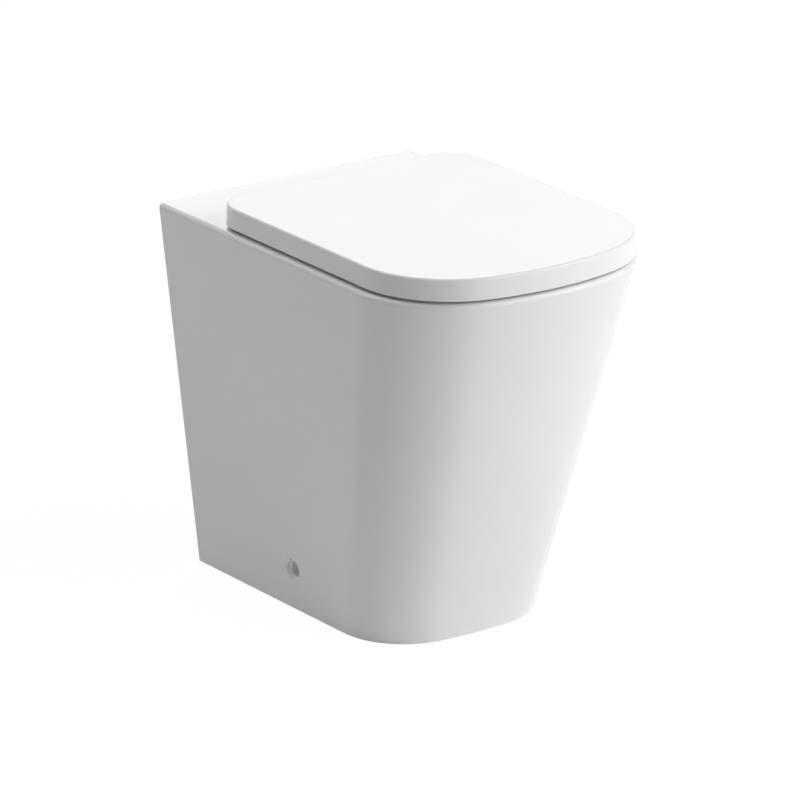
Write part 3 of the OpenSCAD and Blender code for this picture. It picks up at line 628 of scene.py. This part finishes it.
def pair(name, build, body, slot, materials, node, crease=34):
    """The same piece on both sides: built for the right, and mirrored for the left."""
    right = build()
    left = flipped(right)
    piece(name + "_right", right, body, materials, [node + "_right"], crease)
    piece(name + "_left", left, body, materials, [node + "_left"], crease)


bracket_x = side_x - boss_t - 2
at_side = along((1, 0, 0), (0, side_y, side_z))

# Natural moulded nylon: milky off-white, a little translucent, with the dull bloom of a bead-blasted mould.
nylon, tree, shader, place = finish("moulded_nylon", IOR=1.53, Subsurface_Weight=0.15,
                                    Subsurface_Radius=(0.004, 0.0035, 0.003), Subsurface_Scale=0.6)
bloom = noise(tree, place, Scale=90.0, Detail=3.0, Roughness=0.6)
wandering(tree, shader, bloom, ("#E9E6DD", "#DDD9CE"), (0.38, 0.56))
embossed(tree, shader, (noise(tree, place, Scale=2400.0, Detail=1.0), 0.4, 0.00004))

# Zinc-plated steel: cool silver with the cloudy, slightly bluish passivation of cheap fixings.
screw_steel, tree, shader, place = finish("zinc_plated_steel", Metallic=1.0)
clouds = noise(tree, place, Scale=260.0, Detail=4.0, Roughness=0.6)
wandering(tree, shader, clouds, ("#C6C9CC", "#A8ABAA"), (0.24, 0.42))
embossed(tree, shader, (clouds, 0.3, 0.00003))


def build_bracket():
    """The angle: an upright with a boss for the screw, a sole with the floor hole, and a web on each side."""
    half, thick, reach, web_t = 18, 5, 34, 4
    upright = prism([(side_y - half, 0), (side_y + half, 0), (side_y + half, side_z + 6)]
                    + [(side_y + half * cosine(a), side_z + half * sine(a)) for a in range(15, 170, 15)]
                    + [(side_y - half, side_z + 6)], bracket_x - thick, bracket_x)
    sole = eased(block((bracket_x - reach, side_y - half, 0), (bracket_x, side_y + half, thick)), 5, 4, axis=2)
    steps = [("UNION", sole)]
    for y in (side_y - half, side_y + half - web_t):
        corners = [(bracket_x - 4.5, y, 4.5), (bracket_x - 29, y, 4.5), (bracket_x - 29, y, 6.5),
                   (bracket_x - 7, y, 39), (bracket_x - 4.5, y, 39)]
        steps.append(("UNION", pulled_out(corners, (0, web_t, 0))))
    steps += [
        ("UNION", turned([(bracket_x - 14, 0), (bracket_x - 14, 7.2), (bracket_x - 13.2, 8), (bracket_x - 4, 8.4),
                          (bracket_x - 4, 0)], at_side, 40)),
        ("DIFFERENCE", turned([(-1, 0), (-1, 4), (4.4, 4), (5.1, 4.8), (5.1, 0)],
                              Matrix.Translation((bracket_x - 24, side_y, 0)), 32)),
        ("DIFFERENCE", rod(bracket_x - 26, bracket_x + 2, side_y, side_z, 3.05, 32)),
        ("BEVEL", 0.5, 2, 50),
    ]
    return combined(upright, steps)


pair("bracket", build_bracket, "pan", "nylon", (nylon,), "floor_bracket")

cup_x = side_x - boss_t


def build_screw():
    """A round-headed screw with a hexagon socket. Its thread is cut as close rings."""
    end, head = bracket_x - 17, cup_x + 3
    thread_r, root_r, pitch = 3.0, 2.3, 1.6
    profile = [(end, 0), (end + 1, 1.6)]
    at = end + 1.5
    while at < head - 4:
        profile += [(at, root_r), (at + 0.7, thread_r), (at + 0.9, thread_r)]
        at += pitch
    profile += [(at, 2.6), (at + 0.4, thread_r), (head, thread_r), (head, 5.8), (head + 0.3, 6.0), (head + 2, 5.9),
                (head + 3.2, 5.2), (head + 3.8, 4.2), (head + 4, 3.2), (head + 4, 0)]
    socket = turned([(head + 1.6, 0), (head + 1.6, 2.6), (head + 5, 2.6), (head + 5, 0)], at_side, 6)
    return combined(turned(profile, at_side, 36), [("DIFFERENCE", socket)])


def build_cup():
    """The cup that lines the hole in the china, with its mouth and floor softened."""
    end = side_x - 6.5
    return turned([(cup_x + 0.5, 3.3), (cup_x, 3.8), (cup_x, 11.2), (cup_x + 0.7, 11.9), (end - 0.4, 11.9),
                   (end, 11.5), (end, 10.2), (end - 0.3, 9.9), (cup_x + 3.5, 9.9), (cup_x + 3, 9.4),
                   (cup_x + 3, 3.3), (cup_x + 0.5, 3.3)], at_side, 56)


def build_cap():
    """The push-in cap: a flange that rolls softly down into a deep thimble, which grips the nylon cup."""
    face = side_x - 2.8
    thimble, thimble_r, roll = 9.5, 8.8, 3.0
    back = face - thimble - 1.2
    profile = [(back, 0), (back, 9.0), (back + 0.6, 9.6), (face - 3, 9.8), (face - 3, 11.7), (face - 2.8, 11.9),
               (face - 0.1, 11.9)]
    profile += [(face - roll + roll * sine(a), thimble_r + roll - roll * cosine(a)) for a in range(90, -1, -15)]
    profile += [(face - thimble + 1.5, thimble_r - 0.3), (face - thimble + 0.5, thimble_r - 0.7),
                (face - thimble, thimble_r - 1.8), (face - thimble, 0)]
    return turned(profile, at_side, 64)


# Gloss white ABS: a polished mould gives it nearly the shine of the glaze beside it, with faint sink
# and flow marks instead of the glaze's ripple.
cap_white, tree, shader, place = finish("gloss_white_abs", IOR=1.53)
sink = noise(tree, place, Scale=70.0, Detail=2.0)
wandering(tree, shader, sink, ("#F2F2F0", "#EEEEEB"), (0.13, 0.2))
embossed(tree, shader, (sink, 0.4, 0.00004))

pair("screw", build_screw, "pan", "steel", (screw_steel,), "side_screw")
pair("cup", build_cup, "pan", "nylon", (nylon,), "side_sleeve")
pair("cap", build_cap, "pan", "hinge_white", (cap_white,), "cover_cap", 50)

# ---- Seat fixings: a turned steel post stands on a polished plate and a rubber washer on the deck. Its
# threaded stud goes down through a rubber sleeve, which a nylon wing nut draws up into the hole.
post_low, post_high, groove_low, groove_high, post_r, groove_r = 452.5, 468.5, 460, 462.2, 7, 5.4
stud_r, stud_low, stud_fit_r = 3.0, 400.5, 3.1
washer_top, sleeve_low, sleeve_high, nut_low = 451, 431, 448, 419

# Turned stainless steel: fine rings left by the lathe tool, slightly warm grey, brighter on the lands.
post_steel, tree, shader, place = finish("turned_stainless_steel", Metallic=1.0, Anisotropic=0.4)
lathe = add_node(tree, "ShaderNodeTexWave", {"bands_direction": "Z"}, Vector=place, Scale=1600.0, Distortion=0.6,
                 Detail=2.0, Detail_Scale=1.5).outputs["Fac"]
wandering(tree, shader, lathe, ("#C9C7C2", "#B8B6B1"), (0.18, 0.32))
embossed(tree, shader, (lathe, 0.35, 0.00002))

# Polished chrome plate: a near mirror with only hairline wiping marks.
plate_chrome, tree, shader, place = finish("polished_chrome_plate", Metallic=1.0)
hairs = noise(tree, place, Scale=700.0, Detail=5.0, Roughness=0.7)
wandering(tree, shader, hairs, ("#DDDFE0", "#D2D4D6"), (0.04, 0.12))

# Moulded EPDM rubber: near-black and dry, with a fine grain and a grey dust of mould release.
black_rubber, tree, shader, place = finish("moulded_epdm_rubber", IOR=1.5)
dust = noise(tree, place, Scale=130.0, Detail=5.0, Roughness=0.7)
wandering(tree, shader, dust, ("#1F1F20", "#333334"), (0.55, 0.8))
embossed(tree, shader, (noise(tree, place, Scale=1800.0, Detail=2.0), 0.5, 0.00005))


def build_post():
    """The post with its groove for the spring wire, a shoulder, and the stud with its thread cut as rings."""
    profile = [(stud_low, 0), (stud_low, 2.2), (stud_low + 0.8, 2.8)]
    at = stud_low + 1
    while at < post_low - 8:
        profile += [(at, 2.5), (at + 0.42, stud_r), (at + 0.58, stud_r)]
        at += 1.0
    profile += [(at, 2.6), (at + 0.4, stud_r), (post_low, stud_r), (post_low, post_r - 0.3),
                (post_low + 0.3, post_r), (groove_low - 0.2, post_r), (groove_low, post_r - 0.2),
                (groove_low, groove_r), (groove_high, groove_r), (groove_high, post_r - 0.2),
                (groove_high + 0.2, post_r), (post_high - 1.6, post_r), (post_high - 0.7, post_r - 0.4),
                (post_high - 0.15, post_r - 1.1), (post_high, post_r - 1.8), (post_high, 0)]
    return turned(profile, at_post, 48)


def build_plate():
    """The chromed disc, its upper edge softly rolled."""
    low, high = washer_top, post_low
    return turned([(low, stud_fit_r), (low, 14.8), (low + 0.2, 15), (high - 0.6, 15), (high - 0.2, 14.7), (high, 14.2),
                   (high, stud_fit_r), (low, stud_fit_r)], at_post, 72)


def build_washer():
    low, high = rim_height, washer_top
    return turned([(low, stud_fit_r), (low, 14.2), (low + 0.3, 14.5), (high - 0.3, 14.5), (high, 14.2),
                   (high, stud_fit_r), (low, stud_fit_r)], at_post, 64)


def build_deck_sleeve():
    """The rubber sleeve: a collar under the deck and a plug that swells in the hole."""
    low, high = sleeve_low, sleeve_high
    return turned([(low, stud_fit_r), (low, 10.5), (low + 0.5, 11), (ceiling - 0.5, 11), (ceiling, 10.6),
                   (ceiling, 7.5), (ceiling + 1, 7.3), (high - 5, 7.35), (high - 2.5, 7.1), (high, 6.4),
                   (high, stud_fit_r), (low, stud_fit_r)], at_post, 48)


def build_wing_nut():
    """The nut: a hub with a flange at its top and two wings, turned a little off the line of the deck."""
    low, high, wing_half = nut_low, sleeve_low, 1.3
    hub = turned([(low, 0), (low, 8.2), (low + 0.8, 9), (high - 2.8, 9.2), (high - 2.4, 11), (high - 1.9, 11.5),
                  (high - 0.4, 11.5), (high, 11.1), (high, 0)], Matrix(), 56)
    wing_outline = [(5, 0.4), (12, -0.8), (16.5, -4.6), (18.6, -5), (20, -3.8), (20, 4.4), (18.8, 6), (16.5, 6.6),
                    (11, 9.8), (5, 10.5)]
    steps = []
    for turn in (20, 200):
        wing = pulled_out([(x, -wing_half, low + rise) for x, rise in wing_outline], (0, 2 * wing_half, 0))
        eased(wing, 0.7, 2, 60)
        wing.transform(Matrix.Rotation(math.radians(turn), 4, "Z"))
        steps.append(("UNION", wing))
    steps.append(("DIFFERENCE", turned([(low - 9, 0), (low - 9, 3.9), (low, 3.9), (low + 0.8, stud_fit_r),
                                        (high + 1, stud_fit_r), (high + 1, 0)], Matrix(), 32)))
    nut = combined(hub, steps)
    nut.transform(at_post)
    return nut


pair("post", build_post, "pan", "steel", (post_steel,), "hinge_post")
pair("post_plate_disc", build_plate, "pan", "chrome", (plate_chrome,), "post_plate")
pair("washer", build_washer, "pan", "rubber", (black_rubber,), "post_gasket")
pair("sleeve", build_deck_sleeve, "pan", "rubber", (black_rubber,), "deck_sleeve")
pair("winged_nut", build_wing_nut, "pan", "nylon", (nylon,), "wing_nut")

# ---- Hinge units: a moulded housing pushes down over each post and holds a damper. A spring wire clip
# grips the post's groove until the button in the housing's inner side spreads it.
axis_y, axis_z = 150.6, 466.0
block_x0, block_x1, block_front, block_top = 62, 93, 116.6, 474.5
damper_bore_r, rotor_bore_r, post_bore_r, button_bore_r = 6.6, 4.3, 7.1, 4.6
wire_half, wire_gap, wire_spread = 0.8, 0.15, 1.5
groove_middle = (groove_low + groove_high) / 2
at_button = along((1, 0, 0), (0, fixing_y, groove_middle))

# Satin white ABS: the housings come from a spark-eroded mould, whose fine grain softens every highlight.
housing_white, tree, shader, place = finish("satin_white_abs", IOR=1.53)
flow = noise(tree, place, Scale=60.0, Detail=2.0)
wandering(tree, shader, flow, ("#F0F0ED", "#EAEAE6"), (0.3, 0.4))
embossed(tree, shader, (noise(tree, place, Scale=3000.0, Detail=1.0), 0.4, 0.00003))

# Drawn spring wire: bright carbon steel with fine die marks along it, a shade darker than the posts.
spring_steel, tree, shader, place = finish("drawn_spring_wire", Metallic=1.0)
streak = add_node(tree, "ShaderNodeMapping", Vector=place, Scale=(60.0, 1400.0, 1400.0))
die = noise(tree, streak.outputs[0], Scale=1.0, Detail=3.0)
wandering(tree, shader, die, ("#B5B3AE", "#989691"), (0.2, 0.36))

# Grey acetal: slippery, waxy plastic with a soft sheen and a faint marbling from its filler.
button_grey, tree, shader, place = finish("grey_acetal", IOR=1.48)
marbling = noise(tree, place, Scale=220.0, Detail=4.0, Distortion=0.8)
wandering(tree, shader, marbling, ("#A6A8AA", "#9A9C9E"), (0.28, 0.4))


def build_housing():
    """The housing with its bores for damper, rotor, post and button, and the slot in which the wire spreads."""
    profile = [(block_front, post_low), (axis_y + 8, post_low), (axis_y + 8, post_low + 1)]
    profile += arc((axis_y, axis_z), 8.5, -2, 90, 16) + arc((block_front + 5, block_top - 5), 5, 90, 180, 10)
    shell = eased(prism(profile, block_x0, block_x1), 1.0, 3, 50)
    clip_half = groove_r + wire_half + wire_gap + wire_spread
    return combined(shell, [
        ("DIFFERENCE", rod(block_x0 + 2, block_x1 - 2, axis_y, axis_z, damper_bore_r)),
        ("DIFFERENCE", rod(block_x0 - 1, block_x1 + 1, axis_y, axis_z, rotor_bore_r)),
        ("DIFFERENCE", turned([(post_low - 1, 0), (post_low - 1, 8), (post_low + 0.1, 7.8),
                               (post_low + 0.9, post_bore_r), (post_high + 0.5, post_bore_r), (post_high + 0.5, 0)],
                              at_post, 56)),
        ("DIFFERENCE", block((fixing_x - 10.5, fixing_y - clip_half, groove_low - 0.2),
                             (fixing_x + 9.5, fixing_y + clip_half, groove_high + 0.2))),
        ("DIFFERENCE", turned([(block_x0 - 1, 0), (block_x0 - 1, button_bore_r + 1), (block_x0, button_bore_r + 0.5),
                               (block_x0 + 0.5, button_bore_r), (block_x0 + 6.6, button_bore_r), (block_x0 + 6.6, 0)],
                              at_button, 48)),
    ])


def build_button():
    """The release button: a dished round head. A slot across its back takes the bow of the spring wire."""
    low, back = block_x0, block_x0 + 4
    head = turned([(low + 0.35, 0), (low + 0.2, 2), (low, 3.4), (low + 0.05, 4), (low + 0.5, 4.5), (back - 0.3, 4.5),
                   (back, 4.2), (back, 0)], at_button, 48)
    slot = block((low + 2.2, fixing_y - 6, groove_middle - 1.3), (back + 1, fixing_y + 6, groove_middle + 1.3))
    return combined(head, [("DIFFERENCE", slot)])


pair("housing", build_housing, "hinges", "hinge_white", (housing_white,), "hinge_block")
for side in ("left", "right"):
    solid = build_button() if side == "right" else flipped(build_button())
    piece("button_cap_" + side, solid, "button_" + side, (button_grey,), ["release_button_" + side])

# ---- Seat: one compression-moulded ring of white thermoset. Its top rolls softly down into the opening,
# two lugs turn on the hinge axis, and four rubbery buffers carry it on the rim.
seat_low, seat_top = 455, 472
seat_plan = (168.5, 0, 137.1, 394.1, 112, 345, 34)
hole_y, hole_half_width, hole_half_length = -57, 108, 138
pocket_x0, pocket_x1, seat_lug_x1 = 61.2, 93.4, 102.4
pin_bore_r, key_bore_r, key_half = 4.1, 4.02, 3.12

# Compression-moulded urea resin: dense, hard and porcelain-like. Its polished mould leaves a deep
# gloss with a finer, flatter texture than the glaze, and the resin is a trace warmer.
moulded_white, tree, shader, place = finish("compression_moulded_urea_resin", IOR=1.5)
cloud = noise(tree, place, Scale=12.0, Detail=2.0)
wandering(tree, shader, cloud, ("#F5F5F5", "#F2F2F1"), (0.12, 0.17))
embossed(tree, shader, (noise(tree, place, Scale=160.0, Detail=1.0), 0.5, 0.000012))

# Soft white buffer rubber: slightly translucent thermoplastic rubber with a dry, grippy face.
buffer_white, tree, shader, place = finish("soft_white_buffer_rubber", IOR=1.5, Subsurface_Weight=0.3,
                                           Subsurface_Radius=(0.005, 0.005, 0.004), Subsurface_Scale=0.5)
grip = noise(tree, place, Scale=900.0, Detail=2.0)
wandering(tree, shader, grip, ("#ECECE8", "#E2E2DD"), (0.45, 0.6))
embossed(tree, shader, (grip, 0.4, 0.00004))

# Rings with the same number of points all round, so that the opening joins the outer edge without a twist
ring_steps = {"side_steps": 30, "steps": 26, "rear_steps": 14, "back_steps": 32}
headings = [math.atan2(p.y - hole_y, p.x) for p in outline(*seat_plan, **ring_steps)]


def seat_hole(grown, height, power=2.7):
    """The opening's outline, grown by a distance, at the headings of the seat's outer line."""
    ring = []
    for heading in headings:
        c, s = math.cos(heading), math.sin(heading)
        across = abs(c / (hole_half_width + grown)) ** power
        lengthways = abs(s / (hole_half_length + grown)) ** power
        reach = (across + lengthways) ** (-1 / power)
        ring.append(Vector((reach * c, hole_y + reach * s, height)))
    return ring


def seat_outer(inset, height):
    """The seat's outer line, drawn in by an inset all round."""
    return lifted(outline(*drawn_in(seat_plan, inset, -inset), **ring_steps), height)


def build_seat():
    """The ring, from its lower outer edge over the top and down into the opening, with its pockets and lugs."""
    edge, foot, lip, hem = 3.5, 1.4, 5.0, 2
    dish, dish_steps, dish_out, dish_in = 2.6, 10, 30, 5
    rings = [seat_outer(foot * (1 - sine(a)), seat_low + foot * (1 - cosine(a))) for a in (0, 30, 60, 90)]
    rings += [seat_outer(edge * (1 - cosine(a)), seat_top - edge * (1 - sine(a))) for a in range(0, 91, 15)]
    for i in range(dish_steps + 1):
        share = i / dish_steps
        rings.append(seat_hole(dish_out - (dish_out - dish_in) * share, seat_top - dish * share**2))
    rings += [seat_hole(lip * (1 - sine(a)), seat_top - dish - lip * (1 - cosine(a)) + 0.1) for a in range(30, 91, 15)]
    rings += [seat_hole(hem * (1 - sine(a)), seat_low + hem * (1 - cosine(a))) for a in (90, 60, 30, 0)]
    lug_root = 125.1
    lug_profile = [(lug_root, seat_low + 2)] + arc((axis_y, axis_z), 8, -88, 101.4, 24) + [(lug_root, seat_top - 3)]
    lug = eased(prism(lug_profile, pocket_x1, seat_lug_x1), 0.8, 2, 50)
    pocket = eased(block((pocket_x0, 115.4, seat_low - 2), (pocket_x1, 180, seat_top + 2)), 2.0, 4, axis=2)
    return combined(loft(rings, looped=True), [
        ("DIFFERENCE", flipped(pocket)),
        ("DIFFERENCE", pocket),
        ("BEVEL", 0.7, 2, 60),
        ("UNION", flipped(lug)),
        ("UNION", lug),
        ("DIFFERENCE", keyed(93, 103)),
        ("DIFFERENCE", rod(-103, -93, axis_y, axis_z, pin_bore_r)),
    ])


def keyed(x0, x1):
    """A cutter for a bore with two flats, in which a damper's rotor sits."""
    bore = rod(x0, x1, axis_y, axis_z, key_bore_r)
    for side in (-1, 1):
        bmesh.ops.bisect_plane(bore, geom=bore.verts[:] + bore.edges[:] + bore.faces[:],
                               plane_co=(0, 0, axis_z + side * key_half), plane_no=(0, 0, side), clear_outer=True)
        bmesh.ops.holes_fill(bore, edges=bore.edges)
    bmesh.ops.recalc_face_normals(bore, faces=bore.faces)
    return bore


piece("seat_ring", build_seat(), "seat", (moulded_white,), ["seat"], 40)


def buffers(places, low, high, radius):
    """Round buffers with soft edges and a small moulding dimple, as one mesh."""
    whole = bmesh.new()
    for x, y in places:
        bump = turned([(low + 0.6, 0), (low + 0.6, 2), (low, 2.6), (low, radius - 0.8), (low + 0.25, radius - 0.25),
                       (low + 0.8, radius), (high - 0.4, radius), (high, radius - 0.4), (high, 0)],
                      Matrix.Translation((x, y, 0)), 40)
        mesh = bpy.data.meshes.new("working")
        bump.to_mesh(mesh)
        bump.free()
        whole.from_mesh(mesh)
        bpy.data.meshes.remove(mesh)
    return whole


seat_buffer_places = [(143, -150), (-143, -150), (140, 60), (-140, 60)]
piece("rim_buffers", buffers(seat_buffer_places, rim_height, seat_low, 9), "seat", (buffer_white,),
      ["seat_buffers"])

# ---- Lid: a compression-moulded shell of the same thermoset that wraps over the seat. Its flat top meets
# the sides in a crisp, small radius. Two lugs hang from its ceiling on the hinge axis.
lid_plan = (173.5, 0, 161, 423, 117, 350, 44)
lid_low, lid_top, lid_ceiling, lid_skirt, lid_draft, lid_edge, lid_fall = 454.5, 478.5, 475.5, 3.5, 0.85, 3, 1.3
notch_x0, notch_x1, lid_lug_x0, lid_lug_x1 = 51.4, 103.6, 52.6, 61.6
lid_buffer_x, lid_buffer_y = 147, -150


def lid_ring(inset, height, sag=0.0):
    """One line round the lid. With sag 1 it falls to the front by lid_fall, as the lower edge does."""
    ring = lifted(outline(*drawn_in(lid_plan, inset, -inset), side_steps=8, steps=30, rear_steps=18), height)
    for point in ring:
        point.z -= sag * lid_fall * (lid_plan[2] - point.y) / lid_plan[3]
    return ring


def build_lid():
    """The shell: an outer form less an inner one, notched for the hinges, with a lug at each and a collar
    round each buffer."""
    soft, cove, lug_r, fillet = 0.5, 3, 8, 6
    rings = [lid_ring(soft * (1 - sine(a)), lid_low + soft * (1 - cosine(a)), 1) for a in (0, 45, 90)]
    wall = lid_top - lid_edge - lid_low - soft
    rings += [lid_ring(lid_draft * i / 4, lid_low + soft + wall * i / 4, 1 - i / 4) for i in range(1, 4)]
    rings += [lid_ring(lid_draft + lid_edge * (1 - cosine(a)), lid_top - lid_edge * (1 - sine(a)))
              for a in range(0, 91, 15)]
    shell = loft(rings)
    rings = [lid_ring(lid_skirt - soft, lid_low - 1, 1)]
    rings += [lid_ring(lid_skirt - soft + soft * sine(a), lid_low + soft * (1 - cosine(a)), 1) for a in (0, 45, 90)]
    rings += [lid_ring(lid_skirt + lid_draft + cove * (1 - cosine(a)), lid_ceiling - cove * (1 - sine(a)))
              for a in range(0, 91, 15)]
    inside = loft(rings)
    notch = eased(block((notch_x0, lid_plan[2] - lid_skirt - 2.5, lid_low - 2), (notch_x1, 170, lid_ceiling)),
                  1.5, 3, axis=1)
    lug_front = axis_y - lug_r - fillet
    lug_profile = arc((axis_y, axis_z), lug_r, -180, 0, 28)
    lug_profile += [Vector((axis_y + lug_r, lid_ceiling + 1)), Vector((lug_front, lid_ceiling + 1))]
    lug_profile += arc((lug_front, lid_ceiling - fillet), fillet, 90, 0, 8)
    lug = eased(prism(lug_profile, lid_lug_x0, lid_lug_x1), 0.7, 2, 50)
    collar = turned([(lid_ceiling - 1.2, 8.3), (lid_ceiling - 1.2, 9.6), (lid_ceiling - 0.9, 9.9),
                     (lid_ceiling + 1, 10.4), (lid_ceiling + 1, 8.3), (lid_ceiling - 1.2, 8.3)],
                    Matrix.Translation((lid_buffer_x, lid_buffer_y, 0)), 48)
    return combined(shell, [
        ("DIFFERENCE", inside),
        ("DIFFERENCE", flipped(notch)),
        ("DIFFERENCE", notch),
        ("BEVEL", 0.4, 2, 60),
        ("UNION", flipped(lug)),
        ("UNION", lug),
        ("UNION", flipped(collar)),
        ("UNION", collar),
        ("DIFFERENCE", flipped(keyed(52, 62))),
        ("DIFFERENCE", rod(52, 62, axis_y, axis_z, pin_bore_r)),
    ])


piece("lid_shell", build_lid(), "lid", (moulded_white,), ["lid"], 40)
lid_buffer_places = [(lid_buffer_x, lid_buffer_y), (-lid_buffer_x, lid_buffer_y)]
piece("lid_rests", buffers(lid_buffer_places, seat_top, lid_ceiling, 8), "lid", (buffer_white,),
      ["lid_buffers"])

# ---- Hidden hinge works: nylon damper cartridges, their flatted steel rotors and the spring wire clips
# keep their own solids, and take the finish of the real ones.
for node, material in (("damper_left", nylon), ("damper_right", nylon), ("seat_rotor", screw_steel),
                       ("lid_rotor", screw_steel), ("latch_clip_left", spring_steel),
                       ("latch_clip_right", spring_steel)):
    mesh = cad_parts[node].data
    mesh.materials.clear()
    mesh.materials.append(material)
